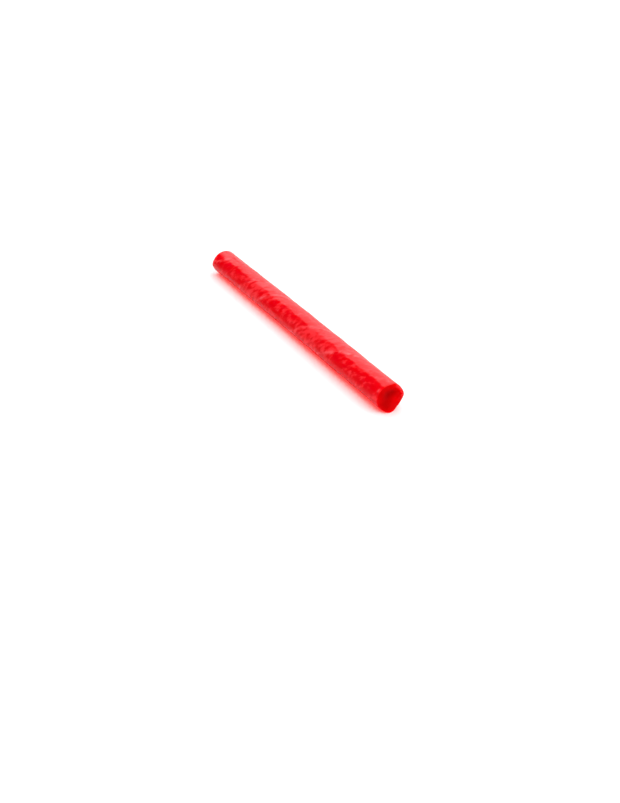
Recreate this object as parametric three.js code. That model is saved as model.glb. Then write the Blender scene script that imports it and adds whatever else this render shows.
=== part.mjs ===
// A stick of pulled hard candy, lying on its side, as one solid.
//
// Millimetres, +Z up. The stick runs along X, with its hollowed end towards +X. The
// origin is on the surface it lies on, under the middle of the stick.
//
// The rope of candy was twisted to the left as it was pulled, so what runs along it
// winds round it. A strand is a line that turns with the twist. It is named by the
// angle at which it passes the middle of the stick, and every angle round the stick is
// measured from the top (+Z) towards -Y.

import * as THREE from 'three';
import { mergeVertices } from 'three/addons/utils/BufferGeometryUtils.js';

// The whole stick
const LENGTH = 127; // five inches; the highest parts of the rims reach a little past it
const RADIUS = 4.86;
const END_THINNING = 0.01; // share of the radius that is lost at each cut end
const THINNING_POWER = 3; // how late along the stick the thinning comes
const BOW = 0.25; // how far the middle lies out of line, sideways
const RESTING_WIDTH = 2.4; // width of the flat it set on while it was soft
const CANDY_RED = '#e8101c';

// The twist, slacker towards +X
const TWIST = 0.0207; // mean turns per millimetre
const TWIST_CHANGE = 0.0062; // gained at the -X end and lost at the +X end

// Two seams where the rope was folded: a lip, with a shallow groove along one side
const SEAMS = [
  { strand: 266.7, lip: 0.11, groove: 0.06, width: 0.55 },
  { strand: 133.3, lip: 0.07, groove: 0.04, width: 0.5 },
];

// Low flutes between the seams: the rope was never quite round
const FLUTES = [
  { count: 2, height: 0.035, phase: 35 },
  { count: 3, height: 0.025, phase: 110 },
  { count: 5, height: 0.018, phase: 60 },
  { count: 9, height: 0.014, phase: 200 },
];

// The cut ends. At some angles the rim stands out of the cut, or draws back from it.
// Dents are places on the cut, seen from outside, right and up of the stick's axis.
const RIM_ROUNDING = 0.4;
const RIM_REACH = 3; // how far along the stick an uneven rim is felt
const DENT_REACH = 1.2; // how far along the stick a dent near the rim is felt
const HOLLOW_END = {
  cut: LENGTH / 2 - 0.5, // the cut's distance from the middle
  rim: [
    { angle: 170, spread: 30, out: 1.4 },
    { angle: 208, spread: 22, out: 0.25 },
    { angle: 290, spread: 30, out: 0.95 },
    { angle: 328, spread: 18, out: -0.15 },
  ],
  dents: [
    { right: -0.7, up: 1.1, radius: 1.6, depth: 0.45 },
    { right: 0.8, up: 1.9, radius: 0.9, depth: 0.18 },
    { right: 2.2, up: 2.1, radius: 0.9, depth: 0.16 },
    { right: 2.1, up: -0.5, radius: 1.7, depth: -0.25 },
    { right: -1.6, up: -2.6, radius: 1.8, depth: 0.2 },
    // the rim is rounded over by these three
    { right: 1.6, up: 4.5, radius: 1.2, depth: 0.25 },
    { right: 3.1, up: 3.7, radius: 1.3, depth: 0.4 },
    { right: 4.3, up: 2.2, radius: 1.2, depth: 0.25 },
  ],
};
const PLAIN_END = {
  cut: LENGTH / 2 - 0.5,
  rim: [
    { angle: 112, spread: 36, out: 1.4 },
    { angle: 5, spread: 40, out: -0.3 },
    { angle: 250, spread: 35, out: 0.25 },
  ],
  dents: [
    { right: 0.6, up: -0.4, radius: 1.8, depth: 0.32 },
    { right: -2.2, up: 1.6, radius: 1.3, depth: 0.14 },
    { right: 1.4, up: 2.4, radius: 1.1, depth: -0.1 },
  ],
};

// A pip of candy that set on the side, just behind the hollowed end's rim
const PIP = { behindCut: 0.8, angle: 55, height: 0.3, radius: 0.65 };

// How finely the solid is divided
const STRANDS = 54;
const BODY_RINGS = 66;
const RIM_STEPS = 3;
const FACE_RINGS = 6;
const MERGE_WITHIN = 1e-3;

const radians = THREE.MathUtils.degToRad;

/** A rounded bump: 1 at its middle, and next to nothing at twice its width. */
function bump(distance, width) {
  return Math.exp(-((distance / width) ** 2));
}

/** The shorter way round from one angle to another, in degrees. */
function turnBetween(from, to) {
  return THREE.MathUtils.euclideanModulo(to - from + 180, 360) - 180;
}

/** How far the rope has turned at x, in turns from the middle of the stick. */
function turnsAt(x) {
  const wave = LENGTH / Math.PI;
  return TWIST * x + TWIST_CHANGE * wave * (Math.cos(x / wave) - 1);
}

/** How far a strand stands out of the round: flutes and seams. */
function strandRelief(strand) {
  let height = 0;
  for (const flute of FLUTES) {
    height += flute.height * Math.cos(radians(flute.count * strand + flute.phase));
  }
  for (const seam of SEAMS) {
    const beside = RADIUS * radians(turnBetween(seam.strand, strand));
    height += seam.lip * bump(beside, seam.width);
    height -= seam.groove * bump(beside - 2 * seam.width, seam.width);
  }
  return height;
}

/** The stick's radius along a strand at x. */
function radiusAt(x, strand) {
  const thinning = END_THINNING * Math.abs((2 * x) / LENGTH) ** THINNING_POWER;
  return RADIUS * (1 - thinning) + strandRelief(strand);
}

/** How far an end's rim stands out of its cut at an angle. */
function rimOut(end, angle) {
  let out = 0;
  for (const lobe of end.rim) {
    out += lobe.out * bump(turnBetween(lobe.angle, angle), lobe.spread);
  }
  return out;
}

/** How deep an end's cut is dented at a place. */
function dentDepth(end, right, up) {
  let depth = 0;
  for (const dent of end.dents) {
    depth += dent.depth * bump(Math.hypot(right - dent.right, up - dent.up), dent.radius);
  }
  return depth;
}

/** The height of the pip at a place on the side. */
function pipHeight(x, angle) {
  const along = HOLLOW_END.cut - PIP.behindCut - x;
  const around = RADIUS * radians(turnBetween(PIP.angle, angle));
  return PIP.height * bump(Math.hypot(along, around), PIP.radius);
}

/** One end of the outline that is turned into the stick: from the axis to past the rim. */
function endOutline(end) {
  const flat = RADIUS - RIM_ROUNDING;
  const points = [];
  for (let ring = 0; ring < FACE_RINGS; ring += 1) {
    points.push(new THREE.Vector2((flat * ring) / FACE_RINGS, end.cut));
  }
  for (let step = 0; step <= RIM_STEPS; step += 1) {
    const turn = (Math.PI / 2) * (step / RIM_STEPS);
    const inset = RIM_ROUNDING * (1 - Math.cos(turn));
    points.push(new THREE.Vector2(flat + RIM_ROUNDING * Math.sin(turn), end.cut - inset));
  }
  return points;
}

/** The outline from the middle of the +X cut, along the side, to the middle of the other. */
function stickOutline() {
  const start = endOutline(HOLLOW_END);
  const finish = endOutline(PLAIN_END).map((point) => new THREE.Vector2(point.x, -point.y));
  const from = start.at(-1).y;
  const to = finish.at(-1).y;
  const side = [];
  for (let ring = 1; ring < BODY_RINGS; ring += 1) {
    side.push(new THREE.Vector2(RADIUS, from + ((to - from) * ring) / BODY_RINGS));
  }
  return [...start, ...side, ...finish.reverse()];
}

/** Turns a closed surface's faces the other way round. */
function flipFaces(geometry) {
  const { index } = geometry;
  for (let face = 0; face < index.count; face += 3) {
    const second = index.getX(face + 1);
    index.setX(face + 1, index.getX(face + 2));
    index.setX(face + 2, second);
  }
}

/** Moves a point of the plain, round stick to where it lies on the real one. */
function shapePoint(point) {
  const strand = THREE.MathUtils.radToDeg(Math.atan2(-point.y, point.z));
  const angle = strand - 360 * turnsAt(point.x);
  const end = point.x > 0 ? HOLLOW_END : PLAIN_END;
  const outward = Math.sign(point.x);
  const share = Math.hypot(point.y, point.z) / RADIUS;
  const reach = share * (radiusAt(point.x, strand) + pipHeight(point.x, angle));
  const left = reach * Math.sin(radians(angle));
  const up = reach * Math.cos(radians(angle));

  const behindCut = end.cut - Math.abs(point.x);
  const drawnOut = rimOut(end, angle) * share ** 2 * bump(behindCut, RIM_REACH);
  const dented = dentDepth(end, -left * outward, up) * bump(behindCut, DENT_REACH);

  const bow = BOW * (1 - ((2 * point.x) / LENGTH) ** 2);
  point.set(point.x + outward * (drawnOut - dented), bow - left, up);
}

/** Builds the stick's surface, resting on z = 0. */
function makeStick() {
  const lathe = new THREE.LatheGeometry(stickOutline(), STRANDS);
  lathe.deleteAttribute('normal');
  lathe.deleteAttribute('uv');
  lathe.rotateZ(-Math.PI / 2);
  const geometry = mergeVertices(lathe, MERGE_WITHIN);
  flipFaces(geometry);

  const restingPlane = -Math.sqrt(RADIUS ** 2 - (RESTING_WIDTH / 2) ** 2);
  const place = geometry.getAttribute('position');
  const point = new THREE.Vector3();
  for (let vertex = 0; vertex < place.count; vertex += 1) {
    point.fromBufferAttribute(place, vertex);
    shapePoint(point);
    place.setXYZ(vertex, point.x, point.y, Math.max(point.z, restingPlane));
  }

  geometry.computeBoundingBox();
  const { min, max } = geometry.boundingBox;
  geometry.translate(-(min.x + max.x) / 2, -(min.y + max.y) / 2, -min.z);
  geometry.computeVertexNormals();
  return geometry;
}

const candy = new THREE.Mesh(
  makeStick(),
  new THREE.MeshStandardMaterial({ color: CANDY_RED, roughness: 0.32, metalness: 0 }),
);
candy.name = 'candy_stick';

const stickCandy = new THREE.Group();
stickCandy.add(candy);

export default stickCandy;
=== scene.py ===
"""One stick of pulled hard candy, lying on a pale studio floor.

The stick is modelled the way it is made. A soft rope of boiled sugar is folded, so
that two seams run along it. It is roughened while it is short, pulled to its length,
twisted to the left, cut at both ends and laid down, where it sets a narrow flat.

Everything is in metres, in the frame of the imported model: X runs along the stick
towards its hollowed end, Z is up, and the floor is at zero. An angle round the stick
is measured from the top (+Z) towards -Y. A strand is a line that winds with the twist.
"""

import logging
import math
from dataclasses import dataclass, field
from enum import Enum
from typing import Any

import bmesh
import bpy
import numpy as np
from mathutils import Matrix, Vector


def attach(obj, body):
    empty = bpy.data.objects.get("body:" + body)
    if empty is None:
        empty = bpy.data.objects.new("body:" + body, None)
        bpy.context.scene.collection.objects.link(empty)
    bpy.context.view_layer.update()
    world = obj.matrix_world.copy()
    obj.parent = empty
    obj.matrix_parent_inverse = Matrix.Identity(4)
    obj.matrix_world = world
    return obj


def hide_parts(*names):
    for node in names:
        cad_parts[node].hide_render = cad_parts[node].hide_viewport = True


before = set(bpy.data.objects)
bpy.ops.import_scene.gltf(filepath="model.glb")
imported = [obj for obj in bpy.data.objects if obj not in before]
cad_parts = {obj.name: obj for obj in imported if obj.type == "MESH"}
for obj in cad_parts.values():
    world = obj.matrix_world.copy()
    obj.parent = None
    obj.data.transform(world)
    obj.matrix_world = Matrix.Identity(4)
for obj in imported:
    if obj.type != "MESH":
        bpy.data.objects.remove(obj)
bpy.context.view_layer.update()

MM = 0.001
BODY = "root"
NODE = "candy_stick"
FALLOFF = "SMOOTH"  # how each pull on the soft candy fades away from where it is made
log = logging.getLogger("stick_candy")


class End(Enum):
    """The two cut ends, by the way each faces along X."""

    HOLLOW = 1
    PLAIN = -1


class Zone(Enum):
    """Parts of the surface that are worked on their own, named as their vertex groups."""

    SIDE = "side"
    CUT = "cut"


# ---------------------------------------------------------------- shared helpers


def linear(hex_colour: str) -> tuple[float, float, float, float]:
    """Turns an sRGB colour into the linear one that a shader takes.

    Args:
        hex_colour: The colour, such as "#E4000F".

    Returns:
        Linear red, green, blue and an alpha of 1.
    """
    channels = [int(hex_colour[i : i + 2], 16) / 255 for i in (1, 3, 5)]
    red, green, blue = (
        c / 12.92 if c <= 0.04045 else ((c + 0.055) / 1.055) ** 2.4 for c in channels
    )
    return red, green, blue, 1.0


def add_node(
    tree: bpy.types.NodeTree,
    kind: str,
    inputs: dict[str | int, Any] | None = None,
    **settings: Any,
) -> bpy.types.Node:
    """Adds one node with its settings, its constants and the links into it.

    Args:
        tree: The node tree that it goes in.
        kind: The node's type name, such as "ShaderNodeMath".
        inputs: A constant or another node's output, by the input's name or number.
        **settings: The node's own properties.

    Returns:
        The new node.
    """
    node = tree.nodes.new(kind)
    for name, value in settings.items():
        setattr(node, name, value)
    for socket, value in (inputs or {}).items():
        if isinstance(value, bpy.types.NodeSocket):
            tree.links.new(value, node.inputs[socket])
        else:
            node.inputs[socket].default_value = value
    return node


def new_material(name: str) -> tuple[bpy.types.Material, bpy.types.NodeTree]:
    """Makes a material whose node tree is empty.

    Args:
        name: The finish's name.

    Returns:
        The material and its node tree.
    """
    material = bpy.data.materials.new(name)
    material.use_nodes = True
    material.node_tree.nodes.clear()
    return material, material.node_tree


def mix(
    tree: bpy.types.NodeTree, factor: Any, first: Any, second: Any, kind: str = "RGBA"
) -> bpy.types.NodeSocket:
    """Adds a node that goes from one colour or value to another.

    Args:
        tree: The node tree that it goes in.
        factor: How far it goes, from 0 to 1.
        first: What it gives at 0: a constant or another node's output.
        second: What it gives at 1.
        kind: "RGBA" for linear colours or "FLOAT" for values.

    Returns:
        The mixed colour or value.
    """
    inputs = {"Factor": factor, "A": first, "B": second}
    return add_node(tree, "ShaderNodeMix", inputs, data_type=kind).outputs["Result"]


def point_at(x: float, radius: float, angle: float) -> Vector:
    """Finds a place by its angle round the stick's axis.

    Args:
        x: How far along the stick.
        radius: How far from the axis.
        angle: Degrees from the top towards -Y.

    Returns:
        The place, with the axis along X.
    """
    turn = math.radians(angle)
    return Vector((x, -radius * math.sin(turn), radius * math.cos(turn)))


class Bench:
    """A piece held in edit mode, where vertices are picked and operators shape them."""

    def __init__(self, piece: bpy.types.Object) -> None:
        """Takes up a piece that is the active object."""
        self.piece = piece

    def __enter__(self) -> "Bench":
        """Starts work on the piece.

        Returns:
            The bench.
        """
        bpy.ops.object.mode_set(mode="EDIT")
        bpy.ops.mesh.select_mode(type="VERT")
        return self

    def __exit__(self, *_: Any) -> None:
        """Puts the piece back in object mode."""
        bpy.ops.object.mode_set(mode="OBJECT")

    def places(self) -> np.ndarray:
        """Reads where every vertex is.

        Returns:
            Their places, as rows of x, y and z.
        """
        self.piece.update_from_editmode()
        vertices = self.piece.data.vertices
        flat = np.empty(len(vertices) * 3, np.float32)
        vertices.foreach_get("co", flat)
        return flat.reshape(-1, 3)

    def pick(self, chosen: np.ndarray) -> None:
        """Selects some vertices, and what lies wholly between them.

        Args:
            chosen: One true or false value for each vertex.
        """
        bpy.ops.mesh.select_all(action="DESELECT")
        mesh = bmesh.from_edit_mesh(self.piece.data)
        mesh.verts.ensure_lookup_table()
        for index in np.flatnonzero(chosen):
            mesh.verts[index].select = True
        mesh.select_flush(True)
        bmesh.update_edit_mesh(self.piece.data, loop_triangles=False, destructive=False)

    def pick_all(self) -> None:
        """Selects the whole piece."""
        bpy.ops.mesh.select_all(action="SELECT")

    def pull(self, place: Vector, by: tuple[float, float, float], reach: float) -> None:
        """Pulls the surface at the vertex nearest to a place, and what is near it.

        Args:
            place: Where the surface is taken hold of.
            by: How far that vertex moves.
            reach: How far round it the surface follows.
        """
        away = np.linalg.norm(self.places() - np.array(place), axis=1)
        self.pick(away <= away.min())
        bpy.ops.transform.translate(
            value=by,
            use_proportional_edit=True,
            proportional_edit_falloff=FALLOFF,
            proportional_size=reach,
        )


# ---------------------------------------------------------------- finishes


@dataclass(frozen=True)
class BoiledSugar:
    """Boiled sugar of any finish: light scatters in it, and comes out of it red.

    Attributes:
        ior: The sugar's index of refraction.
        gloss: How strongly it mirrors, where 0.5 is a clean surface.
        scatter: The share of the light that wanders in it before it comes out.
        scatter_depth: How far light wanders in it.
        scatter_spread: The shares of that depth that red, green and blue light go.
        shade: What each of its surfaces lets through, of light that goes on to light
            other things.
    """

    ior: float = 1.5
    gloss: float = 0.5
    scatter: float = 0.85
    scatter_depth: float = 4.0 * MM
    scatter_spread: tuple[float, float, float] = (1.0, 0.05, 0.05)
    shade: str = "#FF0000"

    def _finish(
        self,
        tree: bpy.types.NodeTree,
        colour: bpy.types.NodeSocket,
        roughness: bpy.types.NodeSocket | float,
        bump: bpy.types.Node,
    ) -> None:
        """Adds the sugar's shader and the material's output.

        Args:
            tree: The material's node tree.
            colour: The sugar's colour.
            roughness: Its roughness.
            bump: The node that holds its fine relief.
        """
        sugar = add_node(
            tree,
            "ShaderNodeBsdfPrincipled",
            {
                "Base Color": colour,
                "Roughness": roughness,
                "Normal": bump.outputs["Normal"],
                "IOR": self.ior,
                "Specular IOR Level": self.gloss,
                "Subsurface Weight": self.scatter,
                "Subsurface Radius": self.scatter_spread,
                "Subsurface Scale": self.scatter_depth,
            },
        )
        # Light that goes through the sugar to light other things comes out of it red.
        path = add_node(tree, "ShaderNodeLightPath")
        passed = add_node(tree, "ShaderNodeBsdfTransparent", {"Color": linear(self.shade)})
        surface = sugar.outputs["BSDF"]
        for light in ("Is Shadow Ray", "Is Diffuse Ray"):
            mixed = add_node(
                tree,
                "ShaderNodeMixShader",
                {0: path.outputs[light], 1: surface, 2: passed.outputs["BSDF"]},
            )
            surface = mixed.outputs["Shader"]
        add_node(tree, "ShaderNodeOutputMaterial", {"Surface": surface})


@dataclass(frozen=True)
class PulledSugar(BoiledSugar):
    """Pulled boiled sugar: red, a little cloudy, with a satin skin.

    Pulling folds fine air bubbles in. They show as paler, duller patches and streaks
    that run with the twist, mostly in the half of the rope between the two seams.

    Attributes:
        clear: Its colour where it holds few bubbles.
        cloudy: Its colour where it holds many.
        seam: Its colour along the lip of a seam, also laid on the pip as a painted highlight.
        patch_length: The size of the patches along the rope.
        patch_width: Their size across it.
        streak_length: The size of the streaks along the rope.
        streak_width: Their size across it.
        streak_share: The share of the cloudiness that is streaks.
        cloudy_half_gain: How much cloudier the cloudy half is.
        cloud_range: The noise's values where it starts to be cloudy and is fully so.
        seam_range: The noise's values where a seam starts to be marked and is fully so.
        grain: The size of the skin's grain, across the rope.
        grain_depth: How deep the grain is.
        clear_roughness: The skin's roughness where it is clear.
        cloudy_roughness: Its roughness where it is cloudy.
    """

    clear: str = "#E80012"
    cloudy: str = "#FE363E"
    seam: str = "#FF5E64"
    patch_length: float = 2.2 * MM
    patch_width: float = 1.8 * MM
    streak_length: float = 6.0 * MM
    streak_width: float = 0.9 * MM
    streak_share: float = 0.15
    cloudy_half_gain: float = 0.1
    cloud_range: tuple[float, float] = (0.47, 0.73)
    seam_range: tuple[float, float] = (0.35, 0.65)
    grain: float = 0.3 * MM
    grain_depth: float = 0.004 * MM
    clear_roughness: float = 0.12
    cloudy_roughness: float = 0.24

    # Each noise is shifted by its own amount, which sets it apart from the others.
    PATCH_SHIFT = 0.0
    STREAK_SHIFT = 7.0
    GRAIN_SHIFT = 3.0

    def _along_rope(
        self, tree: bpy.types.NodeTree, length: float, width: float, shift: float
    ) -> bpy.types.NodeSocket:
        """Adds noise that is drawn out along the rope of sugar.

        Args:
            tree: The material's node tree.
            length: Size of a patch along the rope.
            width: Size of a patch across it.
            shift: How far the noise is shifted.

        Returns:
            The noise's value, from 0 to 1.
        """
        rope = add_node(tree, "ShaderNodeAttribute", attribute_name="rope")
        drawn = add_node(
            tree,
            "ShaderNodeMapping",
            {
                "Vector": rope.outputs["Vector"],
                "Location": (shift, shift, shift),
                "Scale": (1 / length, 1 / width, 1 / width),
            },
        )
        noise = add_node(
            tree,
            "ShaderNodeTexNoise",
            {"Vector": drawn.outputs["Vector"], "Scale": 1.0, "Detail": 2.0, "Roughness": 0.5},
        )
        return noise.outputs["Fac"]

    def material(self) -> bpy.types.Material:
        """Makes the material of the stick's side.

        Returns:
            The material.
        """
        material, tree = new_material("pulled_boiled_sugar")
        patches = self._along_rope(tree, self.patch_length, self.patch_width, self.PATCH_SHIFT)
        streaks = self._along_rope(
            tree, self.streak_length, self.streak_width, self.STREAK_SHIFT
        )
        blend = mix(tree, self.streak_share, patches, streaks, kind="FLOAT")
        half = add_node(tree, "ShaderNodeAttribute", attribute_name="cloudy_half")
        clouded = add_node(
            tree,
            "ShaderNodeMath",
            {0: half.outputs["Fac"], 1: self.cloudy_half_gain, 2: blend},
            operation="MULTIPLY_ADD",
        )
        cloud = add_node(
            tree,
            "ShaderNodeMapRange",
            {
                "Value": clouded.outputs[0],
                "From Min": self.cloud_range[0],
                "From Max": self.cloud_range[1],
            },
            interpolation_type="SMOOTHSTEP",
        )
        colour = mix(tree, cloud.outputs["Result"], linear(self.clear), linear(self.cloudy))
        # The seam mark also carries the pip's painted highlight.
        lip = add_node(tree, "ShaderNodeAttribute", attribute_name="seam")
        broken = add_node(
            tree,
            "ShaderNodeMapRange",
            {
                "Value": patches,
                "From Min": self.seam_range[0],
                "From Max": self.seam_range[1],
            },
        )
        mark = add_node(
            tree,
            "ShaderNodeMath",
            {0: lip.outputs["Fac"], 1: broken.outputs["Result"]},
            operation="MULTIPLY",
        )
        seamed = mix(tree, mark.outputs[0], colour, linear(self.seam))
        roughness = add_node(
            tree,
            "ShaderNodeMapRange",
            {
                "Value": cloud.outputs["Result"],
                "To Min": self.clear_roughness,
                "To Max": self.cloudy_roughness,
            },
        )
        grain = self._along_rope(tree, 2 * self.grain, self.grain, self.GRAIN_SHIFT)
        relief = add_node(tree, "ShaderNodeMath", {0: grain, 1: streaks}, operation="ADD")
        bump = add_node(
            tree,
            "ShaderNodeBump",
            {"Height": relief.outputs[0], "Strength": 1.0, "Distance": self.grain_depth},
        )
        self._finish(tree, seamed, roughness.outputs["Result"], bump)
        return material


@dataclass(frozen=True)
class CutSugar(BoiledSugar):
    """Freshly cut boiled sugar: clear, deep red, smooth but uneven.

    The cut shows the sugar without its cloudy skin, so it is darker, and it glints less.
    Shade is painted into its hollows, and light onto where it rises.

    Attributes:
        deep: Its colour in the hollows, as painted shade.
        bright: Its colour where the cut rises, as painted light.
        patch_size: The size of the patches where it varies.
        patch_share: The share of its colour that they set; the painted shade of the hollows
            sets the rest.
        grain: The size of its grain.
        grain_depth: How deep the grain is.
        roughness: How rough it is to light.
    """

    gloss: float = 0.02
    deep: str = "#9C0000"
    bright: str = "#EE0006"
    patch_size: float = 2.2 * MM
    patch_share: float = 0.3
    grain: float = 0.5 * MM
    grain_depth: float = 0.02 * MM
    roughness: float = 0.25

    def material(self) -> bpy.types.Material:
        """Makes the material of the two cuts.

        Returns:
            The material.
        """
        material, tree = new_material("cut_sugar_with_painted_shade")
        where = add_node(tree, "ShaderNodeTexCoord")
        patches = add_node(
            tree,
            "ShaderNodeTexNoise",
            {"Vector": where.outputs["Object"], "Scale": 1 / self.patch_size, "Detail": 2.0},
        )
        # Painted shade: the cut is coloured darker where it is hollow and lighter where it
        # rises.
        hollow = add_node(tree, "ShaderNodeAttribute", attribute_name="hollow")
        depth = mix(
            tree, self.patch_share, hollow.outputs["Fac"], patches.outputs["Fac"], kind="FLOAT"
        )
        colour = mix(tree, depth, linear(self.bright), linear(self.deep))
        grain = add_node(
            tree,
            "ShaderNodeTexNoise",
            {"Vector": where.outputs["Object"], "Scale": 1 / self.grain, "Detail": 3.0},
        )
        bump = add_node(
            tree,
            "ShaderNodeBump",
            {"Height": grain.outputs["Fac"], "Strength": 1.0, "Distance": self.grain_depth},
        )
        self._finish(tree, colour, self.roughness, bump)
        return material


@dataclass(frozen=True)
class PaintedBoard:
    """Matt white painted board, with the faint mottle of a roller.

    To a gloss it shows a painted shade instead, darker in front of the stick.

    Attributes:
        white: Its colour.
        mottled: Its colour where the paint is thinner.
        mottle: The size of the roller's mottle.
        roughness: How matt it is.
        mirrored_front: The painted shade that a gloss mirrors in front of the stick, for the
            dim room there.
        mirrored_behind: The painted shade that a gloss mirrors behind the stick.
        turning: Where along Y the first gives way to the second.
    """

    white: str = "#FCFCFC"
    mottled: str = "#F9F9F9"
    mottle: float = 40 * MM
    roughness: float = 0.7
    mirrored_front: float = 0.03
    mirrored_behind: float = 0.42
    turning: tuple[float, float] = (-14 * MM, -4 * MM)

    def material(self) -> bpy.types.Material:
        """Makes the floor's material.

        Returns:
            The material.
        """
        material, tree = new_material("white_board_with_painted_shade")
        where = add_node(tree, "ShaderNodeTexCoord")
        noise = add_node(
            tree,
            "ShaderNodeTexNoise",
            {"Vector": where.outputs["Object"], "Scale": 1 / self.mottle},
        )
        colour = mix(tree, noise.outputs["Fac"], linear(self.white), linear(self.mottled))
        board = add_node(
            tree,
            "ShaderNodeBsdfPrincipled",
            {"Base Color": colour, "Roughness": self.roughness},
        )
        # Painted shade: glossy rays see a darker board in place of the white one, darkest in
        # front of the stick.
        across = add_node(tree, "ShaderNodeSeparateXYZ", {0: where.outputs["Object"]})
        mirrored = add_node(
            tree,
            "ShaderNodeMapRange",
            {
                "Value": across.outputs["Y"],
                "From Min": self.turning[0],
                "From Max": self.turning[1],
                "To Min": self.mirrored_front,
                "To Max": self.mirrored_behind,
            },
        )
        gloss_shade = add_node(tree, "ShaderNodeBsdfDiffuse", {"Color": mirrored.outputs["Result"]})
        path = add_node(tree, "ShaderNodeLightPath")
        seen = add_node(
            tree,
            "ShaderNodeMixShader",
            {
                0: path.outputs["Is Glossy Ray"],
                1: board.outputs["BSDF"],
                2: gloss_shade.outputs["BSDF"],
            },
        )
        add_node(tree, "ShaderNodeOutputMaterial", {"Surface": seen.outputs["Shader"]})
        return material


# ---------------------------------------------------------------- the candy


@dataclass(frozen=True)
class Twist:
    """The left-hand twist, tighter towards the plain end.

    Attributes:
        mean: Turns for each metre, at the middle.
        change: Turns for each metre gained at the plain end and lost at the other.
        steps: How many stretches of even twist stand for the smooth change.
    """

    mean: float = 0.0207 / MM
    change: float = 0.0062 / MM
    steps: int = 10

    def rate(self, share: float) -> float:
        """Gives the turns for each metre at a share of the length, from the plain end."""
        return self.mean + self.change * math.cos(math.pi * share)

    def stretches(self) -> list[tuple[float, float]]:
        """Breaks the twist into stretches, from the plain end.

        Returns:
            Where each starts, as a share of the length, and the turns for each metre
            that it adds to the twist from there on.
        """
        rates = [self.rate((step + 0.5) / self.steps) for step in range(self.steps)]
        starts = [step / self.steps for step in range(self.steps)]
        return list(zip(starts, np.diff(rates, prepend=0.0)))


@dataclass(frozen=True)
class Seam:
    """A fold in the rope of sugar: a lip, with a shallow groove along one side.

    Attributes:
        strand: The strand that it runs along.
        lip: How far the lip stands out.
        groove: How deep the groove is.
        width: How far from its middle each falls to about a third.
    """

    strand: float
    lip: float
    groove: float
    width: float


@dataclass(frozen=True)
class Flute:
    """A low wave in the rope's section.

    Attributes:
        count: How many crests it has round the rope.
        height: How far they stand out.
        phase: How far the wave is shifted, in degrees of its own.
    """

    count: int
    height: float
    phase: float


@dataclass(frozen=True)
class RimLobe:
    """A stretch of rim that was drawn out as the candy was cut, or drawn back.

    Attributes:
        angle: Where its middle lies round the stick.
        spread: How far round from there it falls to about a third, in degrees.
        out: How far it stands out of the cut; less than 0 is drawn back.
    """

    angle: float
    spread: float
    out: float


@dataclass(frozen=True)
class Dent:
    """A hollow or a rise in a cut, seen from outside.

    Attributes:
        right: How far right of the stick's axis its middle lies.
        up: How far above the axis it lies.
        radius: How far from its middle it falls to about a third.
        depth: How deep it is; less than 0 rises.
    """

    right: float
    up: float
    radius: float
    depth: float

    def depth_at(self, right: np.ndarray, up: np.ndarray) -> np.ndarray:
        """Gives how deep the dent is at each of some places on the cut."""
        away = np.hypot(right - self.right, up - self.up)
        return self.depth * np.exp(-((away / self.radius) ** 2))


@dataclass(frozen=True)
class Pip:
    """A pip of candy that set on the side, just behind a rim.

    Attributes:
        behind_cut: How far it lies behind the cut.
        angle: Where it lies round the stick.
        height: How far it stands out.
        radius: Its size.
        painted_glint: How strongly a painted highlight is laid on it, next to a seam's lip.
    """

    behind_cut: float = 0.8 * MM
    angle: float = 55
    height: float = 0.3 * MM
    radius: float = 0.65 * MM
    painted_glint: float = 1.0


@dataclass(frozen=True)
class Bumps:
    """Fine roughness on one zone of the candy.

    Attributes:
        zone: Where it is rough.
        size: The size of the bumps.
        depth: Their full depth.
    """

    zone: Zone
    size: float
    depth: float


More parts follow.
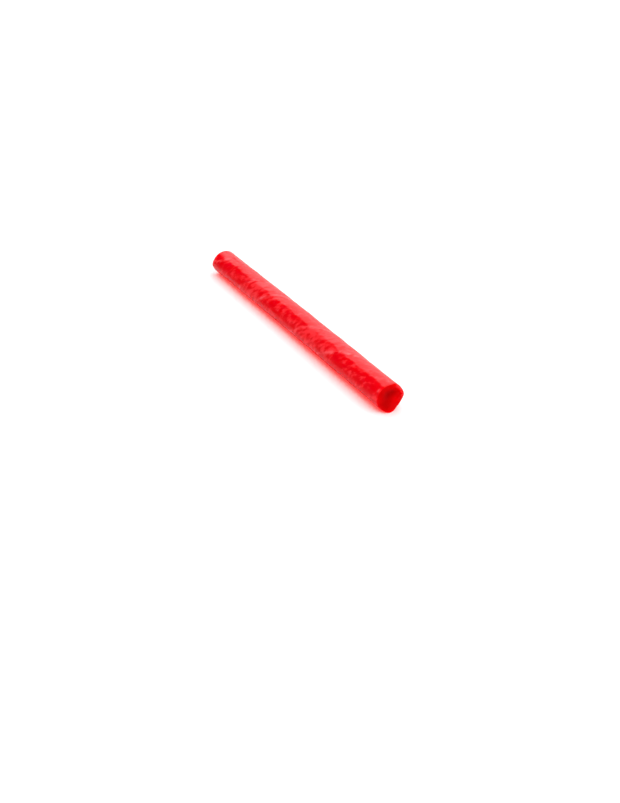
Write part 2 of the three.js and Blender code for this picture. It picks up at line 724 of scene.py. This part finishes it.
@dataclass
class CutEnd:
    """One cut end of the stick.

    Attributes:
        end: Which end it is.
        inset: How far the cut lies inside the stick's full length.
        rounding: The radius of the cut's edge.
        rim: Where the rim stands out or draws back.
        dents: The hollows and rises of the cut.
        rounded: Dents at the rim, where its edge is rounded over.
        rim_steps: Rings of faces in the rounding.
        face_steps: Rings of faces across the cut.
    """

    end: End
    inset: float
    rim: list[RimLobe]
    dents: list[Dent]
    rounded: list[Dent] = field(default_factory=list)
    rounding: float = 0.4 * MM
    rim_steps: int = 3
    face_steps: int = 6

    # A smooth pull falls to half at half its reach, and a bell curve at 0.83 of its own
    # width, so a pull that matches a bell reaches this many widths.
    BELL_TO_PULL = 1.66
    # How near to the open end a vertex counts as on its edge
    EDGE_TOLERANCE = 0.01 * MM
    # The share of the edge's rounding, from the cut, that has the cut's finish
    CUT_SHARE = 0.25
    # The share of a rim dent's depth past which the rim counts as rounded over
    ROUNDED_SHARE = 0.5

    def cut(self, length: float) -> float:
        """Gives the place of the cut along X."""
        return self.end.value * (length / 2 - self.inset)

    def close(self, bench: Bench, length: float, radius: float) -> None:
        """Rounds the open end of the tube over and closes the cut.

        Args:
            bench: The bench with the open tube on it.
            length: The stick's full length.
            radius: The tube's radius.
        """
        outward = self.end.value
        flat = radius - self.rounding
        x = self.cut(length) - outward * self.rounding
        rings = []
        for step in range(1, self.rim_steps + 1):
            turn = math.pi / 2 * step / self.rim_steps
            ring_x = self.cut(length) - outward * self.rounding * (1 - math.sin(turn))
            rings.append((ring_x, flat + self.rounding * math.cos(turn)))
        for step in range(1, self.face_steps):
            rings.append((self.cut(length), flat * (1 - step / self.face_steps)))

        places = bench.places()
        bench.pick(outward * places[:, 0] > outward * x - self.EDGE_TOLERANCE)
        ring_radius = radius
        for ring_x, next_radius in rings:
            bpy.ops.mesh.extrude_region_move(
                TRANSFORM_OT_translate={"value": (ring_x - x, 0, 0)}
            )
            scale = next_radius / ring_radius
            bpy.ops.transform.resize(value=(1, scale, scale), center_override=(ring_x, 0, 0))
            x, ring_radius = ring_x, next_radius
        bpy.ops.mesh.extrude_region_move(TRANSFORM_OT_translate={"value": (0, 0, 0)})
        bpy.ops.mesh.merge(type="CENTER")

    def shape(self, bench: Bench, length: float, radius: float) -> None:
        """Draws the rim out and presses the dents in.

        Args:
            bench: The bench with the twisted stick on it.
            length: The stick's full length.
            radius: The stick's radius.
        """
        outward = self.end.value
        x = self.cut(length)
        for lobe in self.rim:
            rim = point_at(x, radius - self.rounding / 2, lobe.angle)
            reach = self.BELL_TO_PULL * radius * math.radians(lobe.spread)
            bench.pull(rim, (outward * lobe.out, 0, 0), reach)
        for dent in self.dents + self.rounded:
            place = Vector((x, outward * dent.right, dent.up))
            reach = self.BELL_TO_PULL * dent.radius
            bench.pull(place, (-outward * dent.depth, 0, 0), reach)

    def hollow_shade(self, places: np.ndarray) -> np.ndarray:
        """Gives how hollow the cut is, from 0 where it rises to 1 where it is deepest, for the
        cut's painted shade.

        Args:
            places: Places on the cut, as rows of x, y and z.

        Returns:
            One value for each place, 0.5 where the cut is flat.
        """
        right, up = self.end.value * places[:, 1], places[:, 2]
        depth = sum(dent.depth_at(right, up) for dent in self.dents)
        depth -= sum(dent.depth_at(right, up) for dent in self.rounded)
        deepest = max(abs(dent.depth) for dent in self.dents)
        return np.clip(0.5 + 0.5 * depth / deepest, 0, 1)

    def is_rounded(self, places: np.ndarray) -> np.ndarray:
        """Tells which places lie where the rim is rounded over.

        Args:
            places: Places at this end, as rows of x, y and z.

        Returns:
            One true or false value for each place.
        """
        right, up = self.end.value * places[:, 1], places[:, 2]
        over = np.zeros(len(places), bool)
        for dent in self.rounded:
            over |= dent.depth_at(right, up) > self.ROUNDED_SHARE * dent.depth
        return over


@dataclass
class CandyStick:
    """The stick, from a short tube of soft sugar to the set candy.

    Attributes:
        length: The length it is cut to; the rims reach a little past it.
        radius: Half the mean thickness.
        thinning: Share of the radius lost at each end.
        thinned: Length of each end that is thinned in full.
        thinning_reach: How far from there the thinning fades out.
        bow: How far the middle lies out of line, sideways.
        bowed: How far either side of the middle is bowed in full.
        resting_width: Width of the flat it set on.
        columns: Faces round the rope before they are refined.
        rings: Faces along it.
        refinement: How many times each face is divided in four.
        pull: How many times its length the rope is pulled to after it is roughened.
        twist: How it is twisted.
        pip: The pip behind the hollowed end's rim.
        rope_bumps: The roughness of the rope before it is pulled.
        cut_bumps: The roughness of the cuts.
        seams: The folds that run along it.
        flutes: The waves in its section.
        ends: The hollowed end, then the plain one.
    """

    length: float = 127 * MM
    radius: float = 4.86 * MM
    thinning: float = 0.01
    thinned: float = 3 * MM
    thinning_reach: float = 30 * MM
    bow: float = 0.25 * MM
    bowed: float = 1 * MM
    resting_width: float = 2.4 * MM
    columns: int = 48
    rings: int = 100
    refinement: int = 2
    pull: float = 1.6
    twist: Twist = Twist()
    pip: Pip = Pip()
    rope_bumps: tuple[Bumps, ...] = (
        Bumps(Zone.SIDE, size=1.3 * MM, depth=0.07 * MM),
        Bumps(Zone.SIDE, size=0.6 * MM, depth=0.015 * MM),
    )
    cut_bumps: Bumps = Bumps(Zone.CUT, size=0.9 * MM, depth=0.08 * MM)
    seams: tuple[Seam, ...] = (
        Seam(strand=266.7, lip=0.11 * MM, groove=0.06 * MM, width=0.55 * MM),
        Seam(strand=133.3, lip=0.07 * MM, groove=0.04 * MM, width=0.5 * MM),
    )
    flutes: tuple[Flute, ...] = (
        Flute(count=2, height=0.035 * MM, phase=35),
        Flute(count=3, height=0.025 * MM, phase=110),
        Flute(count=5, height=0.018 * MM, phase=60),
        Flute(count=9, height=0.014 * MM, phase=200),
    )
    ends: list[CutEnd] = field(
        default_factory=lambda: [
            CutEnd(
                end=End.HOLLOW,
                inset=0.5 * MM,
                rim=[
                    RimLobe(angle=170, spread=30, out=1.4 * MM),
                    RimLobe(angle=208, spread=22, out=0.25 * MM),
                    RimLobe(angle=290, spread=30, out=0.95 * MM),
                    RimLobe(angle=328, spread=18, out=-0.15 * MM),
                ],
                dents=[
                    Dent(right=-0.7 * MM, up=1.1 * MM, radius=1.6 * MM, depth=0.45 * MM),
                    Dent(right=0.8 * MM, up=1.9 * MM, radius=0.9 * MM, depth=0.18 * MM),
                    Dent(right=2.2 * MM, up=2.1 * MM, radius=0.9 * MM, depth=0.16 * MM),
                    Dent(right=2.1 * MM, up=-0.5 * MM, radius=1.7 * MM, depth=-0.25 * MM),
                    Dent(right=-1.6 * MM, up=-2.6 * MM, radius=1.8 * MM, depth=0.2 * MM),
                ],
                rounded=[
                    Dent(right=1.6 * MM, up=4.5 * MM, radius=1.2 * MM, depth=0.25 * MM),
                    Dent(right=3.1 * MM, up=3.7 * MM, radius=1.3 * MM, depth=0.4 * MM),
                    Dent(right=4.3 * MM, up=2.2 * MM, radius=1.2 * MM, depth=0.25 * MM),
                ],
            ),
            CutEnd(
                end=End.PLAIN,
                inset=0.5 * MM,
                rim=[
                    RimLobe(angle=112, spread=36, out=1.4 * MM),
                    RimLobe(angle=5, spread=40, out=-0.3 * MM),
                    RimLobe(angle=250, spread=35, out=0.25 * MM),
                ],
                dents=[
                    Dent(right=0.6 * MM, up=-0.4 * MM, radius=1.8 * MM, depth=0.32 * MM),
                    Dent(right=-2.2 * MM, up=1.6 * MM, radius=1.3 * MM, depth=0.14 * MM),
                    Dent(right=1.4 * MM, up=2.4 * MM, radius=1.1 * MM, depth=-0.1 * MM),
                ],
            ),
        ]
    )

    # The pale mark along a seam is wider than the lip it runs on.
    SEAM_MARK = 1.25

    def build(self) -> bpy.types.Object:
        """Models and dresses the stick.

        Returns:
            The finished piece.
        """
        piece = self._make_tube()
        self._close_and_refine(piece)
        self._mark_zones(piece)
        self._roughen_and_pull(piece)
        self._remember_rope(piece)
        self._wind(piece)
        self._shape_ends(piece)
        self._lay_down(piece)
        return piece

    def _strand_relief(self, strand: float) -> float:
        """Gives how far a strand stands out of the round.

        Args:
            strand: The strand's angle.

        Returns:
            The height of flutes and seams there.
        """
        height = 0.0
        for flute in self.flutes:
            height += flute.height * math.cos(math.radians(flute.count * strand + flute.phase))
        for seam in self.seams:
            beside = self._beside(seam, strand)
            height += seam.lip * math.exp(-((beside / seam.width) ** 2))
            # the groove's middle lies two widths beside the lip's
            away = beside - 2 * seam.width
            height -= seam.groove * math.exp(-((away / seam.width) ** 2))
        return height

    def _beside(self, seam: Seam, strand: float | np.ndarray) -> float | np.ndarray:
        """Gives how far round the surface a strand, or an array of them, is from a seam."""
        turn = (strand - seam.strand + 180) % 360 - 180
        return self.radius * np.radians(turn)

    def _make_tube(self) -> bpy.types.Object:
        """Makes the open tube of soft sugar, with its seams and flutes.

        Returns:
            The tube, full length and not yet twisted.
        """
        low, high = sorted(
            end.cut(self.length) - end.end.value * end.rounding for end in self.ends
        )
        bpy.ops.object.select_all(action="DESELECT")
        bpy.ops.mesh.primitive_cylinder_add(
            vertices=self.columns,
            radius=self.radius,
            depth=high - low,
            end_fill_type="NOTHING",
            location=((low + high) / 2, 0, 0),
            rotation=(0, math.pi / 2, 0),
        )
        bpy.ops.object.transform_apply(location=True, rotation=True, scale=True)
        piece = bpy.context.object
        piece.name = piece.data.name = "pulled_stick"
        with Bench(piece) as bench:
            places = bench.places()
            strands = np.degrees(np.arctan2(-places[:, 1], places[:, 2])) % 360
            columns = np.round(strands * self.columns / 360) % self.columns
            for column in range(self.columns):
                bench.pick(columns == column)
                relief = self._strand_relief(column * 360 / self.columns)
                scale = 1 + relief / self.radius
                bpy.ops.transform.resize(value=(1, scale, scale), center_override=(0, 0, 0))
            self._cut_rings(piece)
        return piece

    def _cut_rings(self, piece: bpy.types.Object) -> None:
        """Divides the tube along its length.

        Args:
            piece: The tube, in edit mode.
        """
        bpy.ops.mesh.select_mode(type="EDGE")
        bpy.ops.mesh.select_all(action="DESELECT")
        mesh = bmesh.from_edit_mesh(piece.data)
        for edge in mesh.edges:
            start, finish = (vertex.co.x for vertex in edge.verts)
            edge.select_set(abs(start - finish) > self.length / 2)
        bmesh.update_edit_mesh(piece.data)
        bpy.ops.mesh.subdivide(number_cuts=self.rings - 1)
        bpy.ops.mesh.select_mode(type="VERT")

    def _close_and_refine(self, piece: bpy.types.Object) -> None:
        """Closes both ends and smooths the whole stick into small faces.

        Args:
            piece: The open tube.
        """
        with Bench(piece) as bench:
            for end in self.ends:
                end.close(bench, self.length, self.radius)
            bench.pick_all()
            bpy.ops.mesh.normals_make_consistent(inside=False)
        smooth = piece.modifiers.new("refine", "SUBSURF")
        smooth.levels = smooth.render_levels = self.refinement
        bpy.ops.object.modifier_apply(modifier=smooth.name)

    def _mark_zones(self, piece: bpy.types.Object) -> None:
        """Marks the side and the cuts as vertex groups, and gives each its finish.

        Args:
            piece: The closed stick, not yet twisted.
        """
        finishes = {Zone.SIDE: PulledSugar().material(), Zone.CUT: CutSugar().material()}
        with Bench(piece) as bench:
            places = bench.places()
            on_cut = np.zeros(len(places), bool)
            on_side = np.ones(len(places), bool)
            for end in self.ends:
                behind = end.end.value * (end.cut(self.length) - places[:, 0])
                near_cut = behind < end.CUT_SHARE * end.rounding
                on_cut |= near_cut & ~end.is_rounded(places)
                on_side &= behind > end.rounding
            for zone, chosen in ((Zone.SIDE, on_side), (Zone.CUT, on_cut)):
                bench.pick(chosen)
                bpy.ops.object.vertex_group_add()
                piece.vertex_groups.active.name = zone.value
                bpy.ops.object.vertex_group_assign()
                piece.data.materials.append(finishes[zone])
            bench.pick(on_cut)
            piece.active_material_index = list(finishes).index(Zone.CUT)
            bpy.ops.object.material_slot_assign()

    def _displace(self, piece: bpy.types.Object, bumps: Bumps) -> None:
        """Roughens one zone with a cloud texture.

        Args:
            piece: The stick, in object mode.
            bumps: How it is roughened, and where.
        """
        clouds = bpy.data.textures.new(f"{bumps.zone.value}_clouds", type="CLOUDS")
        clouds.noise_scale = bumps.size
        clouds.noise_depth = 2
        rough = piece.modifiers.new("rough", "DISPLACE")
        rough.texture = clouds
        rough.texture_coords = "LOCAL"
        rough.vertex_group = bumps.zone.value
        rough.mid_level = 0.5
        rough.strength = bumps.depth
        bpy.ops.object.modifier_apply(modifier=rough.name)

    def _roughen_and_pull(self, piece: bpy.types.Object) -> None:
        """Roughens the short rope and pulls it, so that every bump becomes a streak.

        Args:
            piece: The straight stick.
        """
        with Bench(piece) as bench:
            bench.pick_all()
            bpy.ops.transform.resize(value=(1 / self.pull, 1, 1), center_override=(0, 0, 0))
        for bumps in self.rope_bumps:
            self._displace(piece, bumps)
        with Bench(piece) as bench:
            bench.pick_all()
            bpy.ops.transform.resize(value=(self.pull, 1, 1), center_override=(0, 0, 0))

    def _remember_rope(self, piece: bpy.types.Object) -> None:
        """Keeps each point's place on the straight rope, for patterns that wind with it.

        Args:
            piece: The straight stick.
        """
        mesh = piece.data
        flat = np.empty(len(mesh.vertices) * 3, np.float32)
        mesh.vertices.foreach_get("co", flat)
        rope = mesh.attributes.new("rope", "FLOAT_VECTOR", "POINT")
        rope.data.foreach_set("vector", flat)

        places = flat.reshape(-1, 3)
        strands = np.degrees(np.arctan2(-places[:, 1], places[:, 2])) % 360
        lip = np.zeros(len(places))
        for seam in self.seams:
            strength = seam.lip / self.seams[0].lip
            width = self.SEAM_MARK * seam.width
            lip += strength * np.exp(-((self._beside(seam, strands) / width) ** 2))
        first, second = sorted(seam.strand for seam in self.seams)
        cloudy_half = (strands > first) & (strands < second)
        self._write_mark(mesh, "seam", lip)
        self._write_mark(mesh, "cloudy_half", cloudy_half)

    def _write_mark(self, mesh: bpy.types.Mesh, name: str, values: np.ndarray) -> None:
        """Keeps one value for each vertex as an attribute that a finish reads."""
        mark = mesh.attributes.new(name, "FLOAT", "POINT")
        mark.data.foreach_set("value", values.astype(np.float32))

    def _wind(self, piece: bpy.types.Object) -> None:
        """Twists the rope to the left, a stretch at a time.

        Args:
            piece: The straight stick.
        """
        places = np.array([vertex.co.x for vertex in piece.data.vertices])
        low, high = places.min(), places.max()
        slack = 0.0
        for start, change in self.twist.stretches():
            start_x = low + start * (high - low)
            turn = piece.modifiers.new("wind", "SIMPLE_DEFORM")
            turn.deform_method = "TWIST"
            turn.deform_axis = "X"
            turn.limits = (start, 1.0)
            turn.angle = -2 * math.pi * change * (high - start_x)
            bpy.ops.object.modifier_apply(modifier=turn.name)
            # A stretch that starts past the middle turns the middle with it.
            slack += 2 * math.pi * change * max(0.0, start_x)
        with Bench(piece) as bench:
            bench.pick_all()
            bpy.ops.transform.rotate(value=-slack, orient_axis="X", center_override=(0, 0, 0))

    def _shape_ends(self, piece: bpy.types.Object) -> None:
        """Shapes both cuts and the pip, roughens the cuts as snapped sugar is, and keeps the
        marks for the cuts' painted shade and the pip's painted highlight.

        Args:
            piece: The twisted stick.
        """
        with Bench(piece) as bench:
            places = bench.places()
            for end in self.ends:
                end.shape(bench, self.length, self.radius)
            place = point_at(
                self.ends[0].cut(self.length) - self.pip.behind_cut, self.radius, self.pip.angle
            )
            outwards = point_at(0, self.pip.height, self.pip.angle)
            bench.pull(place, tuple(outwards), CutEnd.BELL_TO_PULL * self.pip.radius)
        self._displace(piece, self.cut_bumps)

        mesh = piece.data
        # How hollow each place on the cuts is, kept for the painted shade of the cut finish.
        hollow = np.select(
            [places[:, 0] > 0, places[:, 0] <= 0], [end.hollow_shade(places) for end in self.ends]
        )
        self._write_mark(mesh, "hollow", hollow)
        # Painted highlight: the seam's pale colour is laid on the pip, on top of its own glint.
        lip = np.empty(len(mesh.vertices), np.float32)
        mesh.attributes["seam"].data.foreach_get("value", lip)
        away = np.linalg.norm(places - np.array(place), axis=1)
        lip += self.pip.painted_glint * np.exp(-((away / self.pip.radius) ** 2))
        mesh.attributes["seam"].data.foreach_set("value", lip)

    def _lay_down(self, piece: bpy.types.Object) -> None:
        """Thins the ends, bows the stick, and sets it on its flat on the floor.

        Args:
            piece: The stick, with its axis along X.
        """
        resting = -math.sqrt(self.radius**2 - (self.resting_width / 2) ** 2)
        with Bench(piece) as bench:
            for end in self.ends:
                places = bench.places()
                bench.pick(end.end.value * places[:, 0] > self.length / 2 - self.thinned)
                scale = 1 - self.thinning
                bpy.ops.transform.resize(
                    value=(1, scale, scale),
                    center_override=(0, 0, 0),
                    use_proportional_edit=True,
                    proportional_edit_falloff=FALLOFF,
                    proportional_size=self.thinning_reach,
                )
            places = bench.places()
            bench.pick(np.abs(places[:, 0]) < self.bowed)
            bpy.ops.transform.translate(
                value=(0, self.bow, 0),
                use_proportional_edit=True,
                proportional_edit_falloff=FALLOFF,
                proportional_size=self.length / 2,
            )
            places = bench.places()
            bench.pick(places[:, 2] < resting)
            bpy.ops.transform.resize(value=(1, 1, 0), center_override=(0, 0, resting))
            places = bench.places()
            middle = (places.min(axis=0) + places.max(axis=0)) / 2
            bench.pick_all()
            bpy.ops.transform.translate(value=(-middle[0], -middle[1], -resting))
        bpy.ops.object.shade_smooth()


# ---------------------------------------------------------------- the studio


class Lights(Enum):
    """What a panel lights: matt surfaces, or the gloss that mirrors it."""

    MATT = "matt"
    GLOSS = "gloss"


@dataclass(frozen=True)
class Panel:
    """A large soft light that faces the stick.

    Attributes:
        name: Its name.
        lights: What it lights.
        centre: The middle of the panel.
        height: Its size across X.
        radiance: How bright it is, where a white board in full light is about 1.
        width: Its size along X.
        tilt: How it is turned about X, in degrees, where 0 faces down.
    """

    name: str
    lights: Lights
    centre: tuple[float, float, float]
    height: float
    radiance: float
    width: float = 4.0
    tilt: float = 0.0

    def place(self) -> None:
        """Adds the panel, hidden from the camera."""
        bpy.ops.object.light_add(
            type="AREA", location=self.centre, rotation=(math.radians(self.tilt), 0, 0)
        )
        lamp = bpy.context.object
        lamp.name = lamp.data.name = self.name
        lamp.data.shape = "RECTANGLE"
        lamp.data.size, lamp.data.size_y = self.width, self.height
        lamp.data.energy = self.radiance * math.pi * self.width * self.height
        lamp.visible_camera = False
        lamp.visible_diffuse = self.lights is Lights.MATT
        lamp.visible_glossy = self.lights is Lights.GLOSS


@dataclass
class Studio:
    """A white board, a bright ceiling and back wall, and a dim room in front.

    Attributes:
        floor_size: The side of the white board.
        floor_cells: Faces along each of its sides.
        room_light: How bright the room is to what is matt: it fills the shadows.
        backdrop: How bright the room is behind the board, to the camera.
        panels: The soft lights.
    """

    floor_size: float = 1.0
    floor_cells: int = 8
    room_light: float = 0.56
    backdrop: float = 1.2
    panels: tuple[Panel, ...] = (
        Panel(
            name="ceiling_light",
            lights=Lights.MATT,
            centre=(0.4, 0.15, 0.75),
            height=1.1,
            radiance=1.4,
        ),
        Panel(
            name="ceiling_glint",
            lights=Lights.GLOSS,
            centre=(0.0, 0.57, 0.7),
            height=1.46,
            radiance=0.97,
        ),
        Panel(
            name="back_glint",
            lights=Lights.GLOSS,
            centre=(0.0, 1.3, 0.4),
            height=0.8,
            radiance=0.6,
            width=5.0,
            tilt=-90.0,
        ),
    )

    def build(self) -> None:
        """Builds the floor, the panels and the room."""
        self._lay_floor()
        for panel in self.panels:
            panel.place()
            log.info("panel %s", panel.name)
        self._light_room()

    def _lay_floor(self) -> None:
        """Lays the white board that the stick lies on."""
        bpy.ops.object.select_all(action="DESELECT")
        bpy.ops.mesh.primitive_grid_add(
            x_subdivisions=self.floor_cells,
            y_subdivisions=self.floor_cells,
            size=self.floor_size,
            location=(0, 0, 0),
        )
        floor = bpy.context.object
        floor.name = floor.data.name = "studio_floor"
        floor.data.materials.append(PaintedBoard().material())

    def _light_room(self) -> None:
        """Sets the dim room: plain white to the camera, and dark where it is mirrored."""
        world = bpy.data.worlds.new("room")
        bpy.context.scene.world = world
        world.cycles_visibility.glossy = False
        world.use_nodes = True
        tree = world.node_tree
        tree.nodes.clear()
        path = add_node(tree, "ShaderNodeLightPath")
        fill, backdrop = (
            add_node(
                tree, "ShaderNodeBackground", {"Color": linear("#FFFFFF"), "Strength": strength}
            ).outputs[0]
            for strength in (self.room_light, self.backdrop)
        )
        seen = add_node(
            tree,
            "ShaderNodeMixShader",
            {0: path.outputs["Is Camera Ray"], 1: fill, 2: backdrop},
        )
        add_node(tree, "ShaderNodeOutputWorld", {"Surface": seen.outputs[0]})


@dataclass
class PhotoCamera:
    """The camera at the photograph's viewing angle.

    Attributes:
        azimuth: Degrees from looking along +Y towards looking along -X.
        elevation: Degrees above the floor.
        roll: Degrees that the camera is turned about its own line of sight.
        aim: The point on the floor at the middle of the picture.
        distance: From that point to the camera.
        focal_px: The focal length in pixels of the photograph.
        picture_px: The photograph's longer side in pixels.
        sensor: The sensor's width, in millimetres.
        clip: The nearest and the farthest that the camera sees.
    """

    azimuth: float = 60.09
    elevation: float = 27.80
    roll: float = -3.58
    aim: tuple[float, float, float] = (47.91 * MM, -20.38 * MM, 0.0)
    distance: float = 358.6 * MM
    focal_px: float = 1124.9
    picture_px: float = 803.0
    sensor: float = 36.0
    clip: tuple[float, float] = (0.01, 50.0)

    def place(self) -> bpy.types.Object:
        """Adds the camera and makes it the scene's own.

        Returns:
            The camera.
        """
        turn, rise = math.radians(self.azimuth), math.radians(self.elevation)
        level = math.cos(rise)
        back = Vector((math.sin(turn) * level, -math.cos(turn) * level, math.sin(rise)))
        bpy.ops.object.camera_add(location=Vector(self.aim) + back * self.distance)
        camera = bpy.context.object
        camera.name = camera.data.name = "photo_camera"
        upright = (-back).to_track_quat("-Z", "Y").to_matrix()
        rolled = Matrix.Rotation(math.radians(self.roll), 3, -back) @ upright
        camera.rotation_euler = rolled.to_euler()
        camera.data.sensor_width = self.sensor
        camera.data.lens = self.focal_px * self.sensor / self.picture_px
        camera.data.clip_start, camera.data.clip_end = self.clip
        camera.data.dof.use_dof = False
        bpy.context.scene.camera = camera
        return camera


def main() -> None:
    """Builds the camera, the studio and the stick, and reports each."""
    logging.basicConfig(level=logging.INFO, format="%(name)s: %(message)s")
    bpy.ops.object.select_all(action="DESELECT")
    PhotoCamera().place()
    log.info("camera placed")
    Studio().build()
    stick = CandyStick().build()
    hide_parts(NODE)
    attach(stick, BODY)
    log.info("%s has %d faces", stick.name, len(stick.data.polygons))
    bpy.context.scene.view_settings.view_transform = "Standard"


if __name__ == "__main__":
    main()
